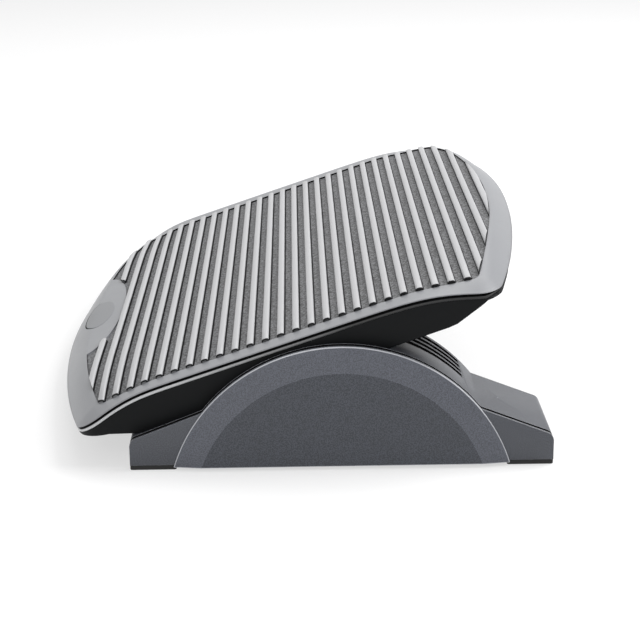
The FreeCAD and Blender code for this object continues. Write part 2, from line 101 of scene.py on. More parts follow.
class RimBand(IntEnum):
    """The finishes of the rim's bands, in the order of its materials."""

    ROLL = 0
    GROOVE = 1
    BEAD = 2


class RibFace(IntEnum):
    """The finishes of a rib's faces, in the order of its materials."""

    TOP = 0
    FLANK = 1
    END = 2


class MouldFace(IntEnum):
    """The finishes of a softened node's faces, in the order of its materials."""

    WALL = 0
    EDGE = 1
    RING = 2


# Finishes

class Shading:
    """A material's nodes round its shader, with patterns on Object coordinates."""

    def __init__(self, name: str) -> None:
        """Starts the material.

        Args:
            name: The material's name.
        """
        self.material = bpy.data.materials.new(name)
        self.material.use_nodes = True
        self.tree = self.material.node_tree
        self.shader = self.tree.nodes["Principled BSDF"]
        self.place = self.tree.nodes.new("ShaderNodeTexCoord").outputs["Object"]

    def noise(self, scale: float, detail: float = 2.0) -> bpy.types.NodeSocket:
        """Adds a noise texture.

        Args:
            scale: Its cells per metre.
            detail: How many finer layers lie on it.

        Returns:
            Its value.
        """
        noise = self.tree.nodes.new("ShaderNodeTexNoise")
        noise.inputs["Scale"].default_value = scale
        noise.inputs["Detail"].default_value = detail
        self.tree.links.new(self.place, noise.inputs["Vector"])
        return noise.outputs["Fac"]

    def cells(self, scale: float) -> bpy.types.NodeSocket:
        """Adds rounded cells, as an eroded mould leaves them.

        Args:
            scale: The cells per metre.

        Returns:
            The distance from each cell's middle.
        """
        cells = self.tree.nodes.new("ShaderNodeTexVoronoi")
        cells.inputs["Scale"].default_value = scale
        self.tree.links.new(self.place, cells.inputs["Vector"])
        return cells.outputs["Distance"]

    def across(self) -> bpy.types.NodeSocket:
        """Adds a measure of how far a point lies towards the toe.

        Returns:
            The point's Y.
        """
        split = self.tree.nodes.new("ShaderNodeSeparateXYZ")
        self.tree.links.new(self.place, split.inputs[0])
        return split.outputs["Y"]

    def stretched(self, value: bpy.types.NodeSocket, start: float = 0.0, end: float = 1.0,
                  low: float = 0.0, high: float = 1.0) -> bpy.types.NodeSocket:
        """Maps one range of a value to another.

        Args:
            value: The value.
            start: Where its range starts.
            end: Where its range ends.
            low: What the start becomes.
            high: What the end becomes.

        Returns:
            The mapped value.
        """
        node = self.tree.nodes.new("ShaderNodeMapRange")
        for name, limit in (("From Min", start), ("From Max", end), ("To Min", low),
                            ("To Max", high)):
            node.inputs[name].default_value = limit
        self.tree.links.new(value, node.inputs["Value"])
        return node.outputs["Result"]

    def mixed(self, factor: bpy.types.NodeSocket, first: tuple | bpy.types.NodeSocket,
              second: tuple | bpy.types.NodeSocket) -> bpy.types.NodeSocket:
        """Mixes two colours.

        Args:
            factor: The second colour's share.
            first: The colour at 0, as a value or another node's result.
            second: The colour at 1.

        Returns:
            The mixed colour.
        """
        node = self.tree.nodes.new("ShaderNodeMix")
        node.data_type = "RGBA"
        for name, colour in (("A", first), ("B", second)):
            if isinstance(colour, tuple):
                node.inputs[name].default_value = colour
            else:
                self.tree.links.new(colour, node.inputs[name])
        self.tree.links.new(factor, node.inputs["Factor"])
        return node.outputs["Result"]

    def finished(self, roughness: bpy.types.NodeSocket, relief: bpy.types.NodeSocket,
                 depth: float) -> bpy.types.Material:
        """Joins the roughness and the relief to the shader.

        Args:
            roughness: The roughness.
            relief: The relief's height, 0 to 1.
            depth: The relief's depth.

        Returns:
            The finished material.
        """
        bump = self.tree.nodes.new("ShaderNodeBump")
        bump.inputs["Strength"].default_value = 1.0
        bump.inputs["Distance"].default_value = depth
        self.tree.links.new(relief, bump.inputs["Height"])
        self.tree.links.new(bump.outputs["Normal"], self.shader.inputs["Normal"])
        self.tree.links.new(roughness, self.shader.inputs["Roughness"])
        return self.material


@dataclass(frozen=True)
class Moulding:
    """A moulded plastic with a fine texture, slight cloudiness, rubbed patches and, if given,
    painted shade towards the toe.
    """

    name: str
    colour: Colour
    roughness: float
    surface: Surface = Surface.SATIN
    grain_size: float = 0.0008
    grain_depth: float = 0.00004
    cloud: float = 0.08
    cloud_scale: float = 22.0
    cloud_detail: float = 3.0
    rubbed: float = 0.05
    dulled: float = 0.07
    speckle: float = 0.0
    speck_start: float = 0.42
    speck_end: float = 0.58
    specular: float = 0.5
    painted_shade_span: tuple[float, float] | None = None
    painted_shade_level: float = 0.03

    def build(self) -> bpy.types.Material:
        """Makes the material.

        Returns:
            The node material, with its patterns on Object coordinates.
        """
        shading = Shading(self.name)
        shading.shader.inputs["Specular IOR Level"].default_value = self.specular
        clouds = shading.noise(self.cloud_scale, self.cloud_detail)
        grain = shading.noise(1.0 / self.grain_size)
        tint = shading.mixed(clouds, self._shade(1.0 - self.cloud), self._shade(1.0 + self.cloud))
        if self.speckle:
            dots = shading.stretched(grain, self.speck_start, self.speck_end)
            tint = shading.mixed(dots, self._shade(1.0 - self.speckle), tint)
        # Painted shade: where given, the colour darkens along Y towards the toe, standing in for
        # the light falling off there.
        if self.painted_shade_span:
            share = shading.stretched(shading.across(), *self.painted_shade_span)
            tint = shading.mixed(share, tint, self._shade(self.painted_shade_level))
        shading.tree.links.new(tint, shading.shader.inputs["Base Color"])
        rough = shading.stretched(clouds, low=self.roughness - self.rubbed,
                                  high=self.roughness + self.dulled)
        stipple = self.surface is Surface.STIPPLE
        relief = shading.cells(1.0 / self.grain_size) if stipple else grain
        return shading.finished(rough, relief, self.grain_depth)

    def _shade(self, factor: float) -> tuple[float, float, float, float]:
        """The colour made darker or lighter by a factor."""
        red, green, blue = (min(channel * factor, 1.0) for channel in self.colour)
        return red, green, blue, 1.0


@dataclass(frozen=True)
class Steel:
    """Zinc-plated or coated steel with a fine drawn grain."""

    name: str
    colour: Colour
    roughness: float
    metallic: float
    grain_scale: float = 400.0
    grain_depth: float = 0.00001
    spread: float = 0.08

    def build(self) -> bpy.types.Material:
        """Makes the material.

        Returns:
            The node material, with its grain on Object coordinates.
        """
        shading = Shading(self.name)
        shading.shader.inputs["Base Color"].default_value = (*self.colour, 1.0)
        shading.shader.inputs["Metallic"].default_value = self.metallic
        grain = shading.noise(self.grain_scale)
        rough = shading.stretched(grain, low=self.roughness - self.spread,
                                  high=self.roughness + self.spread)
        return shading.finished(rough, grain, self.grain_depth)


@dataclass(frozen=True)
class Finishes:
    """Every finish of the footrest."""

    rim: Moulding = Moulding("satin_rim", (0.195, 0.2, 0.214), 0.34, cloud=0.04, specular=0.65)
    rib: Moulding = Moulding("smooth_rib", (0.4, 0.402, 0.412), 0.34, cloud=0.04, specular=0.6)
    # Painted shade: near black for the ribs' flanks, foot strips, chamfers and end outlines.
    rib_flank_shade: Moulding = Moulding("rib_flank_shade", (0.006, 0.006, 0.007), 0.6, cloud=0.02,
                                   specular=0.08)
    floor: Moulding = Moulding("stippled_field", (0.19, 0.192, 0.2), 0.6, Surface.STIPPLE,
                               grain_size=0.0017, grain_depth=0.0004, speckle=0.75)
    # Painted shade: near black for the rim's groove, pocket wall and bead underside, the oval's
    # gap and the housings' seams.
    groove: Moulding = Moulding("shadow_groove", (0.004, 0.004, 0.004), 0.6, cloud=0.02,
                                specular=0.06)
    # The skirt is black plastic, made darker still as painted shade under the rim.
    skirt: Moulding = Moulding("black_skirt_painted_shade", (0.005, 0.0055, 0.006), 0.5, cloud=0.05,
                               specular=0.12)
    drum: Moulding = Moulding("charcoal_drum", (0.068, 0.073, 0.087), 0.42, grain_size=0.0007,
                              grain_depth=0.0001, speckle=0.35)
    pod: Moulding = Moulding("slate_pod", (0.056, 0.062, 0.077), 0.5, grain_size=0.0007,
                             grain_depth=0.0001, speckle=0.5)
    # Painted light: a lighter copy of the pod's colour for the pod caps' sloped ring, which faces
    # up into the light.
    ring: Moulding = Moulding("pod_ring_painted_light", (0.098, 0.105, 0.128), 0.45, grain_size=0.0007,
                              grain_depth=0.0001, speckle=0.4)
    # Painted highlight: light grey for the rounded edges of the side units' mouldings.
    edge: Moulding = Moulding("painted_edge_highlight", (0.45, 0.46, 0.49), 0.35, cloud=0.05)
    rubber: Moulding = Moulding("black_rubber", (0.008, 0.008, 0.008), 0.75, cloud=0.1)
    glide: Moulding = Moulding("glide_plastic", (0.62, 0.61, 0.58), 0.45, cloud=0.03)
    black: Moulding = Moulding("black_moulding", (0.014, 0.014, 0.015), 0.5, cloud=0.08)
    # Painted highlight: the bead is much lighter than the rim it is moulded with, and darkens to
    # painted shade towards the toe.
    bead: Moulding = Moulding("rim_bead_painted_highlight", (0.5, 0.505, 0.515), 0.3, cloud=0.03, specular=0.4,
                              painted_shade_span=(-0.09, 0.04))
    # The rib ends' grey darkens to painted shade towards the toe.
    rib_end: Moulding = Moulding("rib_end", (0.2, 0.202, 0.208), 0.4, cloud=0.04, specular=0.2,
                                 painted_shade_span=(-0.12, 0.06))
    oval: Moulding = Moulding("oval_insert", (0.17, 0.175, 0.185), 0.4, cloud=0.04, specular=0.6)
    tube: Steel = Steel("coated_tube", (0.015, 0.015, 0.016), 0.4, 0.0)
    zinc: Steel = Steel("zinc_steel", (0.6, 0.6, 0.62), 0.35, 1.0)


# Modelling by hand

def pick_none() -> None:
    """Leaves object mode's selection empty."""
    if bpy.context.object and bpy.context.object.mode != "OBJECT":
        bpy.ops.object.mode_set(mode="OBJECT")
    bpy.ops.object.select_all(action="DESELECT")


def pick(*objects: bpy.types.Object) -> None:
    """Selects these objects alone, the first one active.

    Args:
        objects: The objects to select.
    """
    pick_none()
    for item in objects:
        item.select_set(True)
    bpy.context.view_layer.objects.active = objects[0]


def joined(name: str, pieces: list[bpy.types.Object]) -> bpy.types.Object:
    """Joins pieces into one object.

    Args:
        name: The joined object's name.
        pieces: What is joined.

    Returns:
        The joined object.
    """
    pick(*pieces)
    bpy.ops.object.join()
    whole = bpy.context.object
    whole.name = name
    return whole


def with_modifiers_applied(item: bpy.types.Object) -> None:
    """Applies every modifier of an object, in order.

    Args:
        item: The object.
    """
    pick(item)
    for modifier in list(item.modifiers):
        bpy.ops.object.modifier_apply(modifier=modifier.name)


def smooth_by_angle(item: bpy.types.Object, degrees: float) -> None:
    """Shades an object smooth, but for edges sharper than the angle."""
    pick(item)
    bpy.ops.object.shade_smooth_by_angle(angle=math.radians(degrees))


def moved_into(item: bpy.types.Object, matrix: Matrix) -> None:
    """Puts an object's place into its mesh.

    Args:
        item: The object, which ends at the origin, unturned.
        matrix: Where its own frame lies in the row frame.
    """
    pick(item)
    item.matrix_world = matrix
    bpy.ops.object.transform_apply(location=True, rotation=True, scale=True)


def with_ends_filled(item: bpy.types.Object) -> None:
    """Closes the open ends of a skin and leaves it in edit mode, all selected.

    Args:
        item: The skin.
    """
    pick(item)
    bpy.ops.object.mode_set(mode="EDIT")
    bpy.ops.mesh.select_all(action="SELECT")
    bpy.ops.mesh.fill_holes(sides=0)
    bpy.ops.mesh.normals_make_consistent(inside=False)


def merged_copy(source: bpy.types.Object, name: str) -> bpy.types.Object:
    """Copies a CAD node with its own mesh and merges the corners of its loose triangles.

    Args:
        source: The CAD node's object.
        name: The copy's name.

    Returns:
        The copy, which rides on nothing yet.
    """
    item = source.copy()
    item.data = source.data.copy()
    item.name = name
    item.parent = None
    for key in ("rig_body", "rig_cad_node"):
        if key in item:
            del item[key]
    bpy.context.scene.collection.objects.link(item)
    pick(item)
    bpy.ops.object.mode_set(mode="EDIT")
    bpy.ops.mesh.select_all(action="SELECT")
    bpy.ops.mesh.remove_doubles(threshold=MERGE_GAP)
    bpy.ops.object.mode_set(mode="OBJECT")
    return item


def dressed(item: bpy.types.Object, finish: bpy.types.Material) -> bpy.types.Object:
    """Gives all of a CAD node that keeps its shape one finish.

    Args:
        item: The CAD node's object.
        finish: The material.

    Returns:
        The object.
    """
    if not item.material_slots:
        item.data.materials.append(finish)
    for holder in item.material_slots:
        holder.material = finish
    return item


def ring_skin(name: str, rings: list[list[Vector]],
              bands: list[int] | None = None) -> bpy.types.Object:
    """Draws a skin through rings of as many points each, out from the first ring.

    Args:
        name: The object's name.
        rings: The rings, each a list of points in the same order.
        bands: The material number of each band between two rings, if there are several.

    Returns:
        The new object, with its faces pointing outwards.
    """
    pick_none()
    bpy.ops.mesh.primitive_circle_add(vertices=len(rings[0]), fill_type="NOTHING")
    item = bpy.context.object
    item.name = name
    bpy.ops.object.mode_set(mode="EDIT")
    bpy.ops.mesh.select_mode(type="VERT")
    bpy.ops.mesh.select_all(action="SELECT")
    mesh = bmesh.from_edit_mesh(item.data)
    mesh.verts.ensure_lookup_table()
    for vertex, point in zip(mesh.verts, rings[0]):
        vertex.co = point
    places = {tuple(round(value, 7) for value in point): number
              for number, point in enumerate(rings[0])}
    bmesh.update_edit_mesh(item.data)
    for count, ring in enumerate(rings[1:]):
        bpy.ops.mesh.extrude_region_move()
        mesh = bmesh.from_edit_mesh(item.data)
        moved = {}
        for vertex in mesh.verts:
            if vertex.select:
                number = places[tuple(round(value, 7) for value in vertex.co)]
                vertex.co = ring[number]
                moved[tuple(round(value, 7) for value in ring[number])] = number
        if bands:
            for face in mesh.faces:
                if sum(vertex.select for vertex in face.verts) == 2:
                    face.material_index = bands[count]
        places = moved
        bmesh.update_edit_mesh(item.data)
    bpy.ops.mesh.select_all(action="SELECT")
    bpy.ops.mesh.remove_doubles(threshold=MERGE_GAP / 2)
    bpy.ops.mesh.normals_make_consistent(inside=False)
    bpy.ops.object.mode_set(mode="OBJECT")
    return item


def grid_skin(name: str, rows: list[list[Vector]], thickness: float) -> bpy.types.Object:
    """Draws a closed slab whose top runs through rows of as many points each.

    Args:
        name: The object's name.
        rows: The top's rows of points.
        thickness: How deep the slab is, straight down.

    Returns:
        The new object, with its faces pointing outwards.
    """
    pick_none()
    across, along = len(rows[0]) - 1, len(rows) - 1
    bpy.ops.mesh.primitive_grid_add(x_subdivisions=across, y_subdivisions=along, size=2.0)
    item = bpy.context.object
    item.name = name
    bpy.ops.object.mode_set(mode="EDIT")
    bpy.ops.mesh.select_mode(type="VERT")
    mesh = bmesh.from_edit_mesh(item.data)
    for vertex in mesh.verts:
        column = round((vertex.co.x + 1.0) / 2.0 * across)
        row = round((vertex.co.y + 1.0) / 2.0 * along)
        vertex.co = rows[row][column]
    bmesh.update_edit_mesh(item.data)
    bpy.ops.mesh.select_all(action="SELECT")
    bpy.ops.mesh.extrude_region_move(
        TRANSFORM_OT_translate={"value": (0.0, 0.0, -thickness)})
    bpy.ops.mesh.select_all(action="SELECT")
    bpy.ops.mesh.remove_doubles(threshold=MERGE_GAP)
    bpy.ops.mesh.normals_make_consistent(inside=False)
    bpy.ops.object.mode_set(mode="OBJECT")
    return item


# The tread's measured shape

@dataclass
class Outline:
    """An outline with straight sides, bowed heel and toe ends and round corners."""

    half_width: float
    heel: float
    toe: float
    heel_radius: float
    toe_radius: float
    heel_corner: float
    toe_corner: float
    side_points: int = 44
    corner_points: int = 14
    end_points: int = 60

    def _end(self, reach: float, radius: float, corner: float) -> tuple[float, float, float]:
        """Finds where one end's arc meets the corner's arc.

        Args:
            reach: How far the end reaches from the middle.
            radius: The end's radius.
            corner: The corner's radius.

        Returns:
            The corner's centre, and the angle of the line from the end's centre through it.
        """
        centre_y = reach - radius
        corner_x = self.half_width - corner
        corner_y = centre_y + math.sqrt((radius - corner) ** 2 - corner_x ** 2)
        return corner_x, corner_y, math.atan2(corner_y - centre_y, corner_x)

    def right_side(self, inset: float = 0.0) -> list[tuple[float, float]]:
        """The right half's points, from the middle of the toe round to that of the heel.

        Args:
            inset: How far the points are moved in square to the outline.

        Returns:
            The points' X and Y.
        """
        half = []
        for sign, reach, radius, corner in ((1, self.toe, self.toe_radius, self.toe_corner),
                                            (-1, self.heel, self.heel_radius, self.heel_corner)):
            corner_x, corner_y, lean = self._end(reach, radius, corner)
            run = []
            for step in range(self.end_points // 2):
                angle = math.pi / 2 - (math.pi / 2 - lean) * step / (self.end_points // 2)
                run.append((radius * math.cos(angle), reach - radius + radius * math.sin(angle),
                            angle))
            for step in range(self.corner_points + 1):
                angle = lean * (1 - step / self.corner_points)
                run.append((corner_x + corner * math.cos(angle),
                            corner_y + corner * math.sin(angle), angle))
            half.append([(x - inset * math.cos(angle), sign * (y - inset * math.sin(angle)))
                         for x, y, angle in run])
        toe_run, heel_run = half
        top, bottom = toe_run[-1], heel_run[-1]
        side = [(top[0], top[1] + (bottom[1] - top[1]) * step / self.side_points)
                for step in range(1, self.side_points)]
        right = toe_run + side + list(reversed(heel_run))
        right[0] = (0.0, right[0][1])
        right[-1] = (0.0, right[-1][1])
        return right

    def points(self, inset: float = 0.0) -> list[Vector]:
        """All the outline's points in order, flat at Z 0.

        Args:
            inset: How far the points are moved in square to the outline.

        Returns:
            The points.
        """
        right = self.right_side(inset)
        left = [(-x, y) for x, y in reversed(right[1:-1])]
        return [Vector((x, y, 0.0)) for x, y in right + left]

    def towards(self, x: float, y: float) -> float:
        """How far the outline lies from the middle in the direction of a point.

        Args:
            x: The point's X.
            y: The point's Y.

        Returns:
            The distance.
        """
        bearing = math.atan2(abs(x), y)
        previous = None
        for px, py in self.right_side():
            now = math.atan2(px, py)
            if previous and previous[0] <= bearing <= now:
                share = (bearing - previous[0]) / max(now - previous[0], 1e-9)
                return previous[1] + (math.hypot(px, py) - previous[1]) * share
            previous = (now, math.hypot(px, py))
        return self.heel if y < 0 else self.toe

    def reach(self, y: float) -> float:
        """Half the outline's length at one place across it.

        Args:
            y: The place's Y.

        Returns:
            The half length, 0 outside the outline.
        """
        runs = self.right_side()
        for (x0, y0), (x1, y1) in zip(runs, runs[1:]):
            if y1 <= y <= y0:
                share = (y0 - y) / max(y0 - y1, 1e-9)
                return x0 + (x1 - x0) * share
        return 0.0


@dataclass(frozen=True)
class EndRoll:
    """How one end of the tread rolls down towards its edge."""

    start: float
    soft: float
    bend: float
    middle: float
    most: float

    def drop(self, x: float, y: float, half_width: float) -> float:
        """How far the edge lies under the flat tread.

        Args:
            x: The edge point's X.
            y: Its Y.
            half_width: The tread's half width.

        Returns:
            The drop.
        """
        past = abs(y) - self.start
        run = (math.sqrt(past ** 2 + self.soft ** 2) + past) / 2
        side = min(abs(x) / half_width, 1.0) ** 2
        full = self.bend * run ** 2 * (self.middle + (1 - self.middle) * side)
        return full / math.sqrt(1 + (full / self.most) ** 2)


@dataclass
class TreadShape:
    """The tread's measured surface, which its pieces and the skirt follow."""

    rim: Outline = field(default_factory=lambda: Outline(
        0.22467, 0.17294, 0.17226, 0.8359, 0.8392, 0.0223, 0.018))
    ribbed: Outline = field(default_factory=lambda: Outline(
        0.209, 0.1525, 0.1601, 0.885, 0.795, 0.007, 0.007))
    heel_roll: EndRoll = EndRoll(0.08891, 0.01233, 5.01, 0.3604, 0.024)
    toe_roll: EndRoll = EndRoll(0.08638, 0.0294, 4.74, 0.3471, 0.024)
    height: float = 0.12048
    roll_power: float = 1.5
    # How the ribbed field bends down at its corners and its toe end
    field_start: float = 0.091
    field_soft: float = 0.006
    field_level: float = 0.12
    field_bend: float = 0.125
    toe_dip_start: float = 0.1495
    toe_dip: float = 0.09
    # The line of the skirt's foot, and the room that the edge leaves over it
    heel_foot: float = 0.1035
    toe_foot: float = 0.109
    heel_foot_height: float = 0.0926
    toe_foot_height: float = 0.0948
    heel_slope: float = 0.316
    heel_slope_end: float = 0.0215
    heel_end_slope: float = 0.11
    toe_slope: float = 0.347
    toe_slope_end: float = 0.031
    full_edge: float = 0.0066
    least_room: float = 0.25

    def edge_drop(self, x: float, y: float) -> float:
        """How far the rim's edge lies under the flat tread at a point of the edge."""
        roll = self.heel_roll if y < 0 else self.toe_roll
        return roll.drop(x, y, self.rim.half_width)

    def field_drop(self, x: float, y: float) -> float:
        """How far the ribbed field bends down towards its corners.

        Args:
            x: The point's X.
            y: The point's Y.

        Returns:
            The drop.
        """
        past = abs(y) - self.field_start
        run = (math.sqrt(past ** 2 + self.field_soft ** 2) + past) / 2
        side = max(abs(x) - self.field_level, 0.0) / (self.ribbed.half_width - self.field_level)
        dip = self.toe_dip * max(y - self.toe_dip_start, 0.0)
        return self.field_bend * run * min(side, 1.0) ** 2 + dip

    def surface(self, x: float, y: float) -> float:
        """The height of the tread's smooth top over a point.

        Args:
            x: The point's X.
            y: The point's Y.

        Returns:
            The height, without ribs.
        """
        reach = math.hypot(x, y)
        near = self.ribbed.towards(x, y)
        dip = self.field_drop(x, y)
        if reach <= near:
            return self.height - dip
        far = self.rim.towards(x, y)
        share = min((reach - near) / (far - near), 1.0)
        edge = self.edge_drop(x * far / reach, y * far / reach)
        dip = self.field_drop(x * near / reach, y * near / reach)
        return self.height - dip - (edge - dip) * share ** self.roll_power

    def foot(self, y: float) -> float:
        """The height of the skirt's lower edge, which rises towards the corners.

        Args:
            y: The point's Y.

        Returns:
            The height.
        """
        span = self.heel_foot + self.toe_foot
        share = min(max((y + self.heel_foot) / span, 0.0), 1.0)
        base = self.heel_foot_height + (self.toe_foot_height - self.heel_foot_height) * share
        heel = max(-y - self.heel_foot, 0.0)
        toe = max(y - self.toe_foot, 0.0)
        rise = self.heel_slope * min(heel, self.heel_slope_end)
        rise += self.heel_end_slope * max(heel - self.heel_slope_end, 0.0)
        return base + rise + self.toe_slope * min(toe, self.toe_slope_end)

    def room(self, x: float, y: float) -> float:
        """How much of the groove's and the bead's full height the edge leaves them.

        Args:
            x: The edge point's X.
            y: Its Y.

        Returns:
            The share, less than 1 where the edge comes down near the skirt's foot.
        """
        level = self.height - self.edge_drop(x, y)
        return min(max((level - self.foot(y)) / self.full_edge, self.least_room), 1.0)


# Platform

@dataclass
class Tread:
    """The ribbed tread: a rolled rim round a sunken stippled field with long ribs."""

    finishes: Finishes
    place: Matrix
    shape: TreadShape = field(default_factory=TreadShape)
    # The pocket round the ribbed field, and the roll from it to the edge
    pocket: float = 0.00118
    pocket_wall: float = 0.003
    roll_starts: tuple[float, ...] = (0.006, 0.02)
    roll_steps: int = 16
    rim_crease: float = 38.0
    # The edge, the groove in it and the bead under it
    edge_radius: float = 0.0006
    edge_turns: tuple[float, ...] = (30.0, 60.0, 90.0)
    groove_high: float = 0.0007
    groove_low: float = 0.0023
    groove_depth: float = 0.0016
    groove_draft: float = 0.0001
    bead_low: float = 0.0042
    bead_out: float = 0.0011
    bead_back: float = 0.0024
    bead_from: float = 0.128
    bead_to: float = 0.146
    probe: float = 0.001
    # The stippled floor
    floor_columns: int = 32
    floor_lap: float = 0.0002
    floor_thickness: float = 0.0015
    floor_crease: float = 40.0
    # The ribs, their rounded tops and narrow foot strips, whose flanks, strips and end outlines
    # are black painted shade
    rib_pitch: float = 0.01048
    ribs_to_heel: int = 13
    ribs_to_toe: int = 15
    rib_width: float = 0.0047
    rib_proud: float = 0.0019
    rib_round: float = 0.0013
    rib_curve: float = 2.6
    rib_turns: tuple[float, ...] = (0.0, 18.0, 36.0, 54.0, 72.0, 84.0)
    rib_stations: int = 17
    rib_chamfer: float = 0.0010
    rib_sink: float = 0.0004
    rib_end_gap: float = 0.00005
    rib_least: float = 0.004
    end_narrowing: float = 0.8
    end_lowering: float = 0.84
    end_shade_border: float = 0.0003
    rib_crease: float = 42.0
    foot_strip: float = 0.00045
    foot_strip_low: float = 0.00008
    foot_strip_high: float = 0.00014
    # The pad and the oval on it, whose rings are shares of its size and drops from its top
    pad_half_length: float = 0.098
    pad_half_width: float = 0.0225
    pad_y: float = -0.1505
    pad_columns: int = 48
    pad_lines: int = 8
    pad_lap: float = 0.0004
    pad_thickness: float = 0.002
    pad_edge: float = 0.0003
    pad_crease: float = 50.0
    oval_half_length: float = 0.034
    oval_half_width: float = 0.012
    oval_y: float = -0.148
    oval_gap: float = 0.0006
    oval_shift: float = 0.0005
    oval_points: int = 72
    oval_rings: tuple[tuple[float, float], ...] = (
        (0.02, 0.0), (0.5, 0.0), (0.9, 0.0), (0.985, 0.00002), (1.0, 0.0001), (1.0, 0.0012))
    oval_crease: float = 40.0
    shade_gap_proud: float = 0.00006
    insert_proud: float = 0.0002

    def _wall_ring(self, below: float) -> list[Vector]:
        """A ring of the wall round the ribbed field.

        Args:
            below: How far the ring lies under the rim.

        Returns:
            The ring's points.
        """
        shape = self.shape
        return [Vector((point.x, point.y,
                        shape.height - shape.field_drop(point.x, point.y) - below))
                for point in shape.ribbed.points()]

    def _roll_ring(self, share: float) -> list[Vector]:
        """A ring of the rim's rolled top.

        Args:
            share: How much of the way from the field's wall to the edge it lies.

        Returns:
            The ring's points.
        """
        shape = self.shape
        ring = []
        for start, end, edge in zip(shape.ribbed.points(), shape.rim.points(self.edge_radius),
                                    shape.rim.points()):
            point = start + (end - start) * share
            dip = shape.field_drop(start.x, start.y)
            fall = dip + (shape.edge_drop(edge.x, edge.y) - dip) * share ** shape.roll_power
            ring.append(Vector((point.x, point.y, shape.height - fall)))
        return ring

    def _edge_ring(self, out: float, below: float, bead: float = 0.0) -> list[Vector]:
        """A ring of the rim's outer edge, its groove or its bead.

        Args:
            out: How far it stands out from the outline.
            below: How far it lies under the edge's top, where there is full room.
            bead: How much further it stands out along the sides than at the ends.

        Returns:
            The ring's points.
        """
        shape = self.shape
        ring = []
        for point, inner in zip(shape.rim.points(), shape.rim.points(self.probe)):
            share = (abs(point.y) - self.bead_from) / (self.bead_to - self.bead_from)
            side = 1.0 - min(max(share, 0.0), 1.0)
            step = (point - inner) / self.probe * (out + bead * side)
            level = shape.height - shape.edge_drop(point.x, point.y)
            level -= below * shape.room(point.x, point.y)
            ring.append(Vector((point.x + step.x, point.y + step.y, level)))
        return ring

    def rim_rings(self) -> tuple[list[list[Vector]], list[int]]:
        """The rim's rings, from the field's wall over the roll and round the edge.

        Returns:
            Rings of points in the platform's frame, and the finish of each band.
        """
        # The pocket's wall round the field is black, painted shade.
        rings = [self._wall_ring(self.pocket_wall), self._wall_ring(0.0)]
        bands = [RimBand.GROOVE]
        shares = [*self.roll_starts,
                  *(step / self.roll_steps for step in range(1, self.roll_steps + 1))]
        for share in shares:
            rings.append(self._roll_ring(share))
            bands.append(RimBand.ROLL)
        for turn in self.edge_turns:
            angle = math.radians(turn)
            rings.append(self._edge_ring(-self.edge_radius * (1 - math.sin(angle)),
                                         self.edge_radius * (1 - math.cos(angle))))
            bands.append(RimBand.ROLL)
        # The groove, the bead's underside and its back are black, painted shade.
        deep = -self.groove_depth
        for out, below, band in ((0.0, self.groove_high, RimBand.ROLL),
                                 (deep, self.groove_high + self.groove_draft, RimBand.GROOVE),
                                 (deep, self.groove_low - self.groove_draft, RimBand.GROOVE)):
            rings.append(self._edge_ring(out, below))
            bands.append(band)
        radius = (self.bead_low - self.groove_low) / 2
        first_turn = -80
        for turn in range(first_turn, 80, 30):
            angle = math.radians(turn)
            rings.append(self._edge_ring(radius * (math.cos(angle) - 1), self.groove_low
                                         + radius * (1 + math.sin(angle)), self.bead_out))
            bands.append(RimBand.GROOVE if turn == first_turn else RimBand.BEAD)
        rings.append(self._edge_ring(-self.bead_back, self.bead_low))
        rings.append(rings[0])
        return rings, bands + [RimBand.GROOVE, RimBand.GROOVE]

    def build_rim(self) -> bpy.types.Object:
        """Makes the rim.

        Returns:
            The rim, with its fine groove, pocket wall and bead underside black as painted shade,
            and the bead light as a painted highlight that darkens to painted shade towards the
            toe.
        """
        rings, bands = self.rim_rings()
        item = ring_skin("tread_rim", rings, bands)
        for finish in (self.finishes.rim, self.finishes.groove, self.finishes.bead):
            item.data.materials.append(finish.build())
        smooth_by_angle(item, self.rim_crease)
        moved_into(item, self.place)
        return item

    def pad_reach(self, y: float) -> float:
        """Half the width of the smooth pad round the oval at this Y."""
        share = (y - self.pad_y) / self.pad_half_width
        return 0.0 if abs(share) >= 1 else self.pad_half_length * math.sqrt(1 - share ** 2)

    def build_floor(self) -> bpy.types.Object:
        """Makes the stippled field that the ribs stand on.

        Returns:
            The field, a closed slab that follows the outline and the bend.
        """
        shape = self.shape
        rows = []
        for reach, y in reversed(shape.ribbed.right_side(-self.floor_lap)):
            row = []
            for column in range(self.floor_columns + 1):
                x = max(reach, HAIR) * (2 * column / self.floor_columns - 1)
                row.append(Vector((x, y, shape.height - self.pocket - shape.field_drop(x, y))))
            rows.append(row)
        item = grid_skin("tread_field", rows, self.floor_thickness)
        item.data.materials.append(self.finishes.floor.build())
        smooth_by_angle(item, self.floor_crease)
        moved_into(item, self.place)
        return item

    def build_pad(self) -> bpy.types.Object:
        """Makes the smooth pad that carries the oval out of the ribbed field.

        Returns:
            The pad, level with the rim.
        """
        shape = self.shape
        rows = []
        for line in range(self.pad_lines + 1):
            row = []
            for column in range(self.pad_columns + 1):
                x = -self.pad_half_length * math.cos(math.pi * column / self.pad_columns)
                bow = self.pad_half_width * math.sqrt(max(1 - (x / self.pad_half_length) ** 2, 0))
                low = -shape.ribbed.heel + x ** 2 / (2 * shape.ribbed.heel_radius) - self.pad_lap
                high = max(self.pad_y + bow, low + HAIR)
                y = low + (high - low) * line / self.pad_lines
                row.append(Vector((x, y, shape.surface(x, y) + HAIR)))
            rows.append(row)
        item = grid_skin("oval_pad", rows, self.pad_thickness)
        bevel = item.modifiers.new("soft_edge", "BEVEL")
        bevel.width = self.pad_edge
        bevel.segments = 2
        bevel.limit_method = "ANGLE"
        with_modifiers_applied(item)
        item.data.materials.append(self.finishes.rim.build())
        smooth_by_angle(item, self.pad_crease)
        moved_into(item, self.place)
        return item

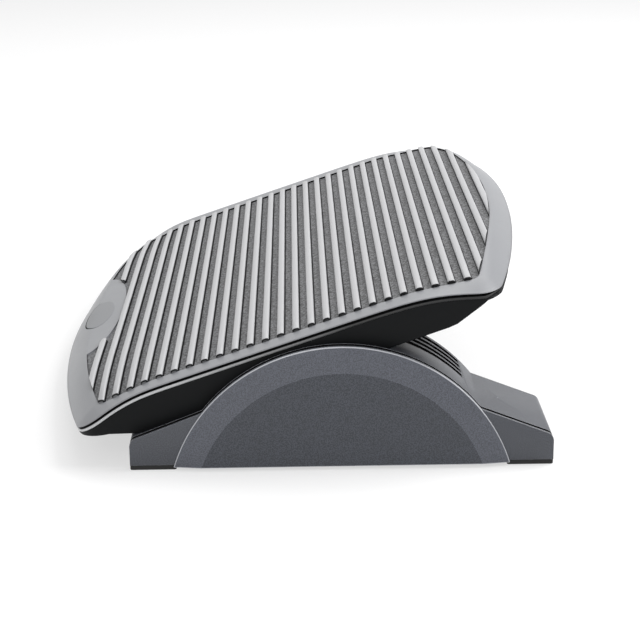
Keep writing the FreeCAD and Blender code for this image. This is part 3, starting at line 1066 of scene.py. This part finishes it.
    def _draped_oval(self, name: str, half: tuple[float, float], y: float, proud: float,
                     finish: Moulding) -> bpy.types.Object:
        """Makes an oval disc that lies on the tread's curved surface.

        Args:
            name: The disc's name.
            half: Half its length and half its width.
            y: Its middle's Y.
            proud: How far its top stands over the surface.
            finish: Its finish.

        Returns:
            The disc, with a fine round edge.
        """
        rings = []
        for share, below in self.oval_rings:
            ring = []
            for step in range(self.oval_points):
                angle = 2 * math.pi * step / self.oval_points
                px = half[0] * share * math.cos(angle)
                py = y + half[1] * share * math.sin(angle)
                ring.append(Vector((px, py, self.shape.surface(px, py) + proud - below)))
            rings.append(ring)
        item = ring_skin(name, rings)
        with_ends_filled(item)
        bpy.ops.object.mode_set(mode="OBJECT")
        item.data.materials.append(finish.build())
        smooth_by_angle(item, self.oval_crease)
        moved_into(item, self.place)
        return item

    def build_oval(self) -> list[bpy.types.Object]:
        """Makes the bare oval insert and the dark gap on one side of it, a black disc under the
        shifted insert as painted shadow.

        Returns:
            The gap and the insert.
        """
        half = (self.oval_half_length, self.oval_half_width)
        gap = self._draped_oval("oval_shade_gap", half, self.oval_y, self.shade_gap_proud,
                                self.finishes.groove)
        half = (half[0] - self.oval_gap, half[1] - self.oval_gap)
        insert = self._draped_oval("oval_insert", half, self.oval_y + self.oval_shift,
                                   self.insert_proud, self.finishes.oval)
        return [gap, insert]

    def _rib_section(self) -> list[tuple[float, float]]:
        """A rib's section, with its narrow foot strip of painted shade and its rounded top.

        Returns:
            The section's Y and Z, from one foot over the top to the other.
        """
        valley = self.shape.height - self.pocket
        top = self.shape.height + self.rib_proud
        half = self.rib_width / 2
        right = [(half + self.foot_strip, valley - self.rib_sink),
                 (half + self.foot_strip, valley + self.foot_strip_low),
                 (half, valley + self.foot_strip_high)]
        for turn in self.rib_turns:
            angle = math.radians(turn)
            right.append((half * math.cos(angle) ** (2 / self.rib_curve), top - self.rib_round
                          + self.rib_round * math.sin(angle) ** (2 / self.rib_curve)))
        return right + [(-y, z) for y, z in reversed(right)]

    def rib_pattern(self) -> bpy.types.Object:
        """Makes one rib with a round top and chamfered ends, to be stretched as each copy; its
        flanks, foot strips, chamfers and end outlines are black painted shade.

        Returns:
            The pattern rib. Its body spans X -1 to 1 and its chamfers the next unit.
        """
        valley = self.shape.height - self.pocket
        low = valley - self.rib_sink
        flank_out = self.rib_width / 2 - 2 * HAIR
        flank_low = valley + self.foot_strip_high + 6 * HAIR
        section = self._rib_section()
        small = [(y * self.end_narrowing, low + (z - low) * self.end_lowering)
                 for y, z in section]
        tip = 2.0
        places = [2 * step / self.rib_stations - 1 for step in range(self.rib_stations + 1)]
        rings = [[Vector((-tip, y, z)) for y, z in small]]
        rings += [[Vector((place, y, z)) for y, z in section] for place in places]
        rings += [[Vector((tip, y, z)) for y, z in small]]
        bands = [RibFace.FLANK] + [RibFace.TOP] * self.rib_stations + [RibFace.FLANK]
        item = ring_skin("rib_pattern", rings, bands)
        for finish in (self.finishes.rib, self.finishes.rib_flank_shade, self.finishes.rib_end):
            item.data.materials.append(finish.build())
        with_ends_filled(item)
        bpy.ops.mesh.select_all(action="DESELECT")
        bpy.ops.mesh.select_mode(type="FACE")
        mesh = bmesh.from_edit_mesh(item.data)
        for face in mesh.faces:
            centre = face.calc_center_median()
            at_end = abs(centre.x) > tip - 0.1
            if at_end or abs(centre.y) > flank_out or centre.z < flank_low:
                face.material_index = RibFace.FLANK
            face.select = at_end
        bmesh.update_edit_mesh(item.data)
        # The inset leaves a black outline of painted shade round each end face; the face inside
        # gets the end finish.
        bpy.ops.mesh.inset(thickness=self.end_shade_border, depth=0.0)
        mesh = bmesh.from_edit_mesh(item.data)
        for face in mesh.faces:
            if face.select:
                face.material_index = RibFace.END
        bmesh.update_edit_mesh(item.data)
        bpy.ops.object.mode_set(mode="OBJECT")
        return item

    def _rib_copy(self, pattern: bpy.types.Object, y: float, inner: float,
                  side: int) -> bpy.types.Object:
        """Copies the pattern rib with its own mesh, cut to the field and the pad.

        Args:
            pattern: The pattern rib.
            y: The rib's place across the tread.
            inner: Where a half rib starts beside the pad, or 0 for a whole one.
            side: 1 or -1 for a half rib's side, 0 for a whole one.

        Returns:
            The copy.
        """
        item = pattern.copy()
        item.data = pattern.data.copy()
        bpy.context.scene.collection.objects.link(item)
        shape = self.shape
        reaches: dict[float, float] = {}
        for vertex in item.data.vertices:
            place_y = y + vertex.co.y
            key = round(place_y, 6)
            if key not in reaches:
                edge = max(min(place_y, shape.ribbed.toe), -shape.ribbed.heel)
                reaches[key] = max(shape.ribbed.reach(edge), self.rib_least) - self.rib_end_gap
            low, high = -reaches[key], reaches[key]
            if side > 0:
                low = max(inner, self.pad_reach(place_y))
            elif side < 0:
                high = -max(inner, self.pad_reach(place_y))
            run = min(max(vertex.co.x, -1.0), 1.0)
            body = (high - low) / 2 - self.rib_chamfer
            x = (low + high) / 2 + run * body
            if abs(vertex.co.x) > 1:
                x += math.copysign((abs(vertex.co.x) - 1) * self.rib_chamfer, vertex.co.x)
            vertex.co = (x, place_y, vertex.co.z - shape.field_drop(x, place_y))
        return item

    def build_ribs(self) -> bpy.types.Object:
        """Makes the ribs, which stop short beside the oval's pad.

        Returns:
            All the ribs as one object.
        """
        pattern = self.rib_pattern()
        ribs = []
        for number in range(-self.ribs_to_heel, self.ribs_to_toe + 1):
            y = number * self.rib_pitch
            pad = self.pad_reach(y)
            if pad > 0:
                ribs += [self._rib_copy(pattern, y, pad, side) for side in (-1, 1)]
            else:
                ribs.append(self._rib_copy(pattern, y, 0.0, 0))
        bpy.data.objects.remove(pattern)
        item = joined("tread_ribs", ribs)
        smooth_by_angle(item, self.rib_crease)
        moved_into(item, self.place)
        return item

    def build(self) -> list[bpy.types.Object]:
        """Builds the tread's pieces in place of the plain plate.

        Returns:
            The pieces.
        """
        gap, insert = self.build_oval()
        pieces = [self.build_rim(), self.build_floor(), self.build_pad(), self.build_ribs(),
                  gap, insert]
        for item in pieces:
            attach(item, Body.PLATFORM.value)
            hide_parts("badge_insert" if item == insert else "tread_plate")
        return pieces


@dataclass
class Skirt:
    """The skirt under the tread: the plain frame fitted to the measured rim, and its wall."""

    frame: dict
    finish: bpy.types.Material
    place: Matrix
    shape: TreadShape = field(default_factory=TreadShape)
    # The plain frame as it comes, with its upper edge and its foot
    plain: Outline = field(default_factory=lambda: Outline(
        0.2282, 0.1740, 0.1740, 0.725, 0.75, 0.024, 0.028))
    plain_height: float = 0.1168
    plain_drop: float = 0.0095
    plain_start: float = 0.075
    plain_end: float = 0.155
    plain_foot: float = 0.0948
    plain_slope: float = 0.152
    # How it is fitted under the measured tread
    edge_gap: float = 0.0013
    plate: float = 0.0042
    fitted_from: float = 0.8
    least_height: float = 0.0006
    least_span: float = 0.001
    # The outer wall from the bead to the foot
    wall_inset: float = 0.0004
    wall: float = 0.0020
    wall_top: float = 0.0038
    wall_round: float = 0.0007
    least_wall: float = 0.0003
    wall_crease: float = 50.0
    frame_crease: float = 30.0

    def _plain_top(self, y: float) -> float:
        """The height of the plain frame's upper edge near the rim at this Y."""
        share = min(max((abs(y) - self.plain_start) / (self.plain_end - self.plain_start), 0), 1)
        return self.plain_height - self.plain_drop * share ** 2 * (3 - 2 * share)

    def _fitted(self, point: Vector) -> Vector:
        """Fits a point of the plain frame under the measured tread.

        Args:
            point: The point in the platform's frame.

        Returns:
            Where it goes.
        """
        reach = math.hypot(point.x, point.y)
        plain_reach = self.plain.towards(point.x, point.y)
        share = (reach / plain_reach - self.fitted_from) / (1 - self.fitted_from)
        new_reach = self.shape.rim.towards(point.x, point.y) - self.edge_gap
        scale = 1 + (new_reach / plain_reach - 1) * min(max(share, 0.0), 1.0)
        x, y = point.x * scale, point.y * scale
        past = max(abs(point.y) - self.shape.heel_foot, 0.0)
        foot = self.plain_foot + self.plain_slope * past
        roof = self.shape.surface(x, y) - self.plate
        new_foot = min(foot, roof - self.least_height)
        plain_roof = max(self._plain_top(point.y), point.z)
        rise = min((roof - new_foot) / max(plain_roof - foot, self.least_span), 1.0)
        return Vector((x, y, new_foot + (point.z - foot) * rise))

    def _wall_ring(self, inset: float, rise: float | None = None) -> list[Vector]:
        """A ring of the skirt's outer wall.

        Args:
            inset: How far inside the rim's outline it lies.
            rise: How far it lies over the skirt's foot, or None for the wall's top.

        Returns:
            The ring's points.
        """
        ring = []
        for point, place in zip(self.shape.rim.points(), self.shape.rim.points(inset)):
            level = self.shape.height - self.shape.edge_drop(point.x, point.y)
            height = level - self.wall_top * self.shape.room(point.x, point.y)
            if rise is not None:
                height = min(self.shape.foot(point.y) + rise, height - self.least_wall)
            ring.append(Vector((place.x, place.y, height)))
        return ring

    def build_wall(self) -> bpy.types.Object:
        """Makes the skirt's outer wall, from the bead down to its rounded foot.

        Returns:
            The wall, a closed ring.
        """
        out, deep = self.wall_inset, self.wall_inset + self.wall
        turn = self.wall_round
        halfway = turn * 0.3
        rings = [self._wall_ring(out), self._wall_ring(out, turn),
                 self._wall_ring(out + halfway, halfway), self._wall_ring(out + turn, 0.0),
                 self._wall_ring(deep, 0.0), self._wall_ring(deep)]
        item = ring_skin("skirt_wall", rings + [rings[0]])
        item.data.materials.append(self.finish)
        smooth_by_angle(item, self.wall_crease)
        moved_into(item, self.place)
        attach(item, Body.PLATFORM.value)
        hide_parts("platform_frame")
        return item

    def build_frame(self) -> bpy.types.Object:
        """Makes the fitted skirt frame from a merged copy of the plain one.

        Returns:
            The skirt frame.
        """
        item = merged_copy(self.frame["nodes"]["platform_frame"], "platform_skirt")
        back = self.place.inverted()
        for vertex in item.data.vertices:
            vertex.co = self.place @ self._fitted(back @ vertex.co)
        item.data.materials.clear()
        item.data.materials.append(self.finish)
        smooth_by_angle(item, self.frame_crease)
        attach(item, Body.PLATFORM.value)
        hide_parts("platform_frame")
        return item

    def build(self) -> list[bpy.types.Object]:
        """Builds the frame and its outer wall."""
        return [self.build_frame(), self.build_wall()]


@dataclass
class Hangers:
    """The hangers under the platform and the shoes that glide over the side units."""

    frame: dict
    finishes: Finishes

    def build(self) -> list[bpy.types.Object]:
        """Dresses the hangers and their shoes.

        Returns:
            The pieces.
        """
        nodes = self.frame["nodes"]
        black, glide = self.finishes.black.build(), self.finishes.glide.build()
        pieces = []
        for side in Side:
            pieces.append(dressed(nodes["hanger_" + side.value], black))
            pieces.append(dressed(nodes["glide_shoe_" + side.value], glide))
        return pieces


# Base

@dataclass
class SoftenedNodes:
    """CAD mouldings whose sharp edges are rounded as a mould leaves them."""

    frame: dict
    body: Body
    slot: str
    finish: bpy.types.Material
    width: float = 0.0005
    edge: bpy.types.Material | None = None
    ring: bpy.types.Material | None = None
    smooth: float = 35.0
    ring_lean: tuple[float, float] = (0.6, 0.995)
    segments: int = 2
    sharp: float = 32.0
    flat: float = 0.5

    def _dress_ring(self, item: bpy.types.Object) -> None:
        """Gives the faces that lean sideways by so much the ring's finish: painted light on the
        pods' sloped rings, painted shade in the housings' seams.

        Args:
            item: The rounded piece.
        """
        low, high = self.ring_lean
        for face in item.data.polygons:
            if face.material_index == MouldFace.WALL and low < abs(face.normal.x) < high:
                face.material_index = MouldFace.RING

    def soften(self, node: str) -> bpy.types.Object:
        """Makes a merged copy of a CAD node with rounded edges.

        Args:
            node: The CAD node's name.

        Returns:
            The rounded piece, which replaces the node.
        """
        item = merged_copy(self.frame["nodes"][node], node + "_moulding")
        bpy.ops.object.mode_set(mode="EDIT")
        bpy.ops.mesh.select_all(action="SELECT")
        bpy.ops.mesh.dissolve_limited(angle_limit=math.radians(self.flat))
        bpy.ops.object.mode_set(mode="OBJECT")
        item.data.materials.clear()
        for finish in (self.finish, self.edge or self.finish, self.ring or self.finish):
            item.data.materials.append(finish)
        bevel = item.modifiers.new("soft_edges", "BEVEL")
        bevel.width = self.width
        bevel.segments = self.segments
        bevel.limit_method = "ANGLE"
        bevel.angle_limit = math.radians(self.sharp)
        # The rounded faces get the edge finish, which is a painted highlight where one is given.
        bevel.material = MouldFace.EDGE
        with_modifiers_applied(item)
        self._dress_ring(item)
        smooth_by_angle(item, self.smooth)
        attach(item, self.body.value)
        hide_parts(node)
        return item


@dataclass
class SideUnits:
    """The two arched side units that the platform rocks over."""

    frame: dict
    finishes: Finishes
    cover_edge: float = 0.0008
    cap_edge: float = 0.0007
    cap_smooth: float = 10.0
    foot_edge: float = 0.0006
    seam_lean: tuple[float, float] = (0.9, 1.01)

    def build(self) -> list[bpy.types.Object]:
        """Rounds and dresses the mouldings of both side units.

        Returns:
            The pieces.
        """
        nodes = self.frame["nodes"]
        drum, pod = self.finishes.drum.build(), self.finishes.pod.build()
        black, rubber = self.finishes.black.build(), self.finishes.rubber.build()
        edge, ring = self.finishes.edge.build(), self.finishes.ring.build()
        # Painted shade: the housing's faces that face sideways, seen in the seams by the covers,
        # are black.
        seam_shade = self.finishes.groove.build()
        housing = SoftenedNodes(self.frame, Body.BASE, "charcoal_plastic", drum, edge=edge,
                                ring=seam_shade, ring_lean=self.seam_lean)
        cover = SoftenedNodes(self.frame, Body.BASE, "charcoal_plastic", drum, self.cover_edge,
                              edge)
        cap = SoftenedNodes(self.frame, Body.BASE, "slate_plastic", pod, self.cap_edge, edge,
                            ring, self.cap_smooth)
        foot = SoftenedNodes(self.frame, Body.BASE, "black_rubber", rubber, self.foot_edge)
        pieces = []
        for side in Side:
            for softened, names in ((housing, ("drum_housing_",)),
                                    (cover, ("side_cover_", "inner_cover_")),
                                    (cap, ("pod_cap_",)), (foot, ("heel_foot_", "toe_foot_"))):
                pieces += [softened.soften(name + side.value) for name in names]
            pieces.append(dressed(nodes["base_plate_" + side.value], black))
            pieces.append(dressed(nodes["heel_bumper_" + side.value], rubber))
            pieces.append(dressed(nodes["toe_bumper_" + side.value], rubber))
        return pieces


@dataclass
class CrossParts:
    """The tubes between the side units, with all the pins and screws."""

    frame: dict
    finishes: Finishes

    def build(self) -> list[bpy.types.Object]:
        """Dresses the tubes, pins and screws.

        Returns:
            The pieces.
        """
        nodes = self.frame["nodes"]
        tube, zinc = self.finishes.tube.build(), self.finishes.zinc.build()
        pieces = [dressed(nodes[name], tube) for name in ("heel_cross_tube", "toe_cross_tube")]
        pieces += [dressed(nodes[name], zinc) for name in (
            "cross_tube_pins", "base_screws", "cover_screws", "hanger_screws", "shoe_screws",
            "frame_screws")]
        return pieces


# Studio

def seen_rays(tree: bpy.types.NodeTree) -> bpy.types.NodeSocket:
    """Tells what the camera sees, straight or by way of shiny and clear surfaces.

    Args:
        tree: The nodes of the world or of a material.

    Returns:
        A value that is 1 for such rays and 0 for those that light the footrest.
    """
    path = tree.nodes.new("ShaderNodeLightPath")
    seen = path.outputs["Is Camera Ray"]
    for name in ("Is Glossy Ray", "Is Transmission Ray"):
        either = tree.nodes.new("ShaderNodeMath")
        either.operation = "MAXIMUM"
        tree.links.new(seen, either.inputs[0])
        tree.links.new(path.outputs[name], either.inputs[1])
        seen = either.outputs[0]
    return seen


def mixed_surface(tree: bpy.types.NodeTree, factor: bpy.types.NodeSocket,
                  first: bpy.types.Node, second: bpy.types.Node,
                  output: bpy.types.Node) -> None:
    """Gives an output a mix of two shaders.

    Args:
        tree: The nodes of the world or of a material.
        factor: The second shader's share.
        first: The shader at 0.
        second: The shader at 1.
        output: The output.
    """
    mix = tree.nodes.new("ShaderNodeMixShader")
    tree.links.new(factor, mix.inputs["Fac"])
    tree.links.new(first.outputs[0], mix.inputs[1])
    tree.links.new(second.outputs[0], mix.inputs[2])
    tree.links.new(mix.outputs[0], output.inputs["Surface"])


@dataclass(frozen=True)
class Lamp:
    """A square soft lamp that points at the footrest."""

    name: str
    place: Place
    size: float
    power: float
    aim: Place = (0.0, 0.0, 0.06)

    def build(self) -> None:
        """Hangs the lamp."""
        data = bpy.data.lights.new(self.name, "AREA")
        data.size = self.size
        data.energy = self.power
        item = bpy.data.objects.new(self.name, data)
        bpy.context.scene.collection.objects.link(item)
        item.location = self.place
        beam = Vector(self.aim) - Vector(self.place)
        item.rotation_euler = beam.to_track_quat("-Z", "Y").to_euler()


@dataclass
class Studio:
    """A pale floor, soft lights and the camera."""

    base_shift: float
    # The camera
    focal_pixels: float = 1750.0
    frame_pixels: float = 640.0
    sensor: float = 36.0
    nearest: float = 0.05
    farthest: float = 50.0
    pitch: float = 17.199
    yaw: float = 0.832
    roll: float = -0.575
    station: Place = (1.28469, -0.02863, 0.42628)
    # The world, the floor and the lamps
    world_light: float = 0.44
    floor_size: float = 30.0
    floor_level: float = -0.0002
    floor_colour: Colour = (0.965, 0.965, 0.97)
    floor_roughness: float = 0.6
    floor_specular: float = 0.2
    floor_glow: float = 0.6
    lamps: tuple[Lamp, ...] = (Lamp("key", (-0.2, 1.5, 1.7), 1.4, 52.0),
                               Lamp("fill", (-1.2, 0.1, 1.8), 1.6, 15.0),
                               Lamp("front", (1.8, -0.7, 0.9), 1.2, 9.0))

    def camera(self) -> None:
        """Adds the camera at the photograph's place and makes it the scene's."""
        pitch, yaw, roll = (math.radians(angle) for angle in (self.pitch, self.yaw, self.roll))
        ahead = Vector((-math.cos(pitch) * math.cos(yaw), math.cos(pitch) * math.sin(yaw),
                        -math.sin(pitch)))
        right = Vector((math.sin(yaw), math.cos(yaw), 0.0))
        above = right.cross(ahead)
        side = right * math.cos(roll) + above * math.sin(roll)
        head = above * math.cos(roll) - right * math.sin(roll)
        data = bpy.data.cameras.new("camera")
        data.sensor_width = self.sensor
        data.lens = self.focal_pixels / self.frame_pixels * self.sensor
        data.clip_start = self.nearest
        data.clip_end = self.farthest
        item = bpy.data.objects.new("camera", data)
        bpy.context.scene.collection.objects.link(item)
        turn = Matrix((side, head, -ahead)).transposed().to_4x4()
        spot = Vector(self.station) + Vector((0.0, self.base_shift, 0.0))
        item.matrix_world = Matrix.Translation(spot) @ turn
        bpy.context.scene.camera = item

    def world(self) -> None:
        """Gives the world a soft white light, seen as white by the camera."""
        world = bpy.data.worlds.new("studio")
        bpy.context.scene.world = world
        world.use_nodes = True
        tree = world.node_tree
        tree.nodes.clear()
        output = tree.nodes.new("ShaderNodeOutputWorld")
        light = tree.nodes.new("ShaderNodeBackground")
        white = tree.nodes.new("ShaderNodeBackground")
        for shader, strength in ((light, self.world_light), (white, 1.0)):
            shader.inputs["Color"].default_value = (1.0, 1.0, 1.0, 1.0)
            shader.inputs["Strength"].default_value = strength
        mixed_surface(tree, seen_rays(tree), light, white, output)

    def floor(self) -> None:
        """Adds the pale floor, which glows a little where it is seen and keeps its shadow."""
        pick_none()
        bpy.ops.mesh.primitive_plane_add(size=self.floor_size,
                                         location=(0.0, 0.0, self.floor_level))
        item = bpy.context.object
        item.name = "floor"
        material = bpy.data.materials.new("pale_floor")
        material.use_nodes = True
        tree = material.node_tree
        shader = tree.nodes["Principled BSDF"]
        shader.inputs["Base Color"].default_value = (*self.floor_colour, 1.0)
        shader.inputs["Roughness"].default_value = self.floor_roughness
        shader.inputs["Specular IOR Level"].default_value = self.floor_specular
        glow = tree.nodes.new("ShaderNodeEmission")
        part = tree.nodes.new("ShaderNodeMath")
        part.operation = "MULTIPLY"
        part.inputs[1].default_value = self.floor_glow
        tree.links.new(seen_rays(tree), part.inputs[0])
        mixed_surface(tree, part.outputs[0], shader, glow, tree.nodes["Material Output"])
        item.data.materials.append(material)

    def build(self) -> None:
        """Sets up the whole studio."""
        self.camera()
        self.world()
        self.floor()
        for lamp in self.lamps:
            lamp.build()
        bpy.context.scene.view_settings.view_transform = "Standard"


def platform_place(pivot: Vector, tilt_degrees: float = 18.6) -> Matrix:
    """Where the platform's own frame lies in the row frame, at rest."""
    return Matrix.Translation(pivot) @ Matrix.Rotation(math.radians(tilt_degrees), 4, "X")


def main() -> None:
    """Builds the footrest round its frame."""
    logging.basicConfig(level=logging.INFO, format="%(name)s: %(message)s")
    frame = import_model()
    finishes = Finishes()
    pivot = Vector(frame["joints"][0]["pos_m"])
    place = platform_place(pivot)
    for assembly in (SideUnits(frame, finishes), CrossParts(frame, finishes),
                     Tread(finishes, place), Skirt(frame, finishes.skirt.build(), place),
                     Hangers(frame, finishes)):
        for piece in assembly.build():
            LOG.info("%s: %d faces", piece.name, len(piece.data.polygons))
    Studio(pivot.y).build()
    pick_none()


if __name__ == "__main__":
    main()
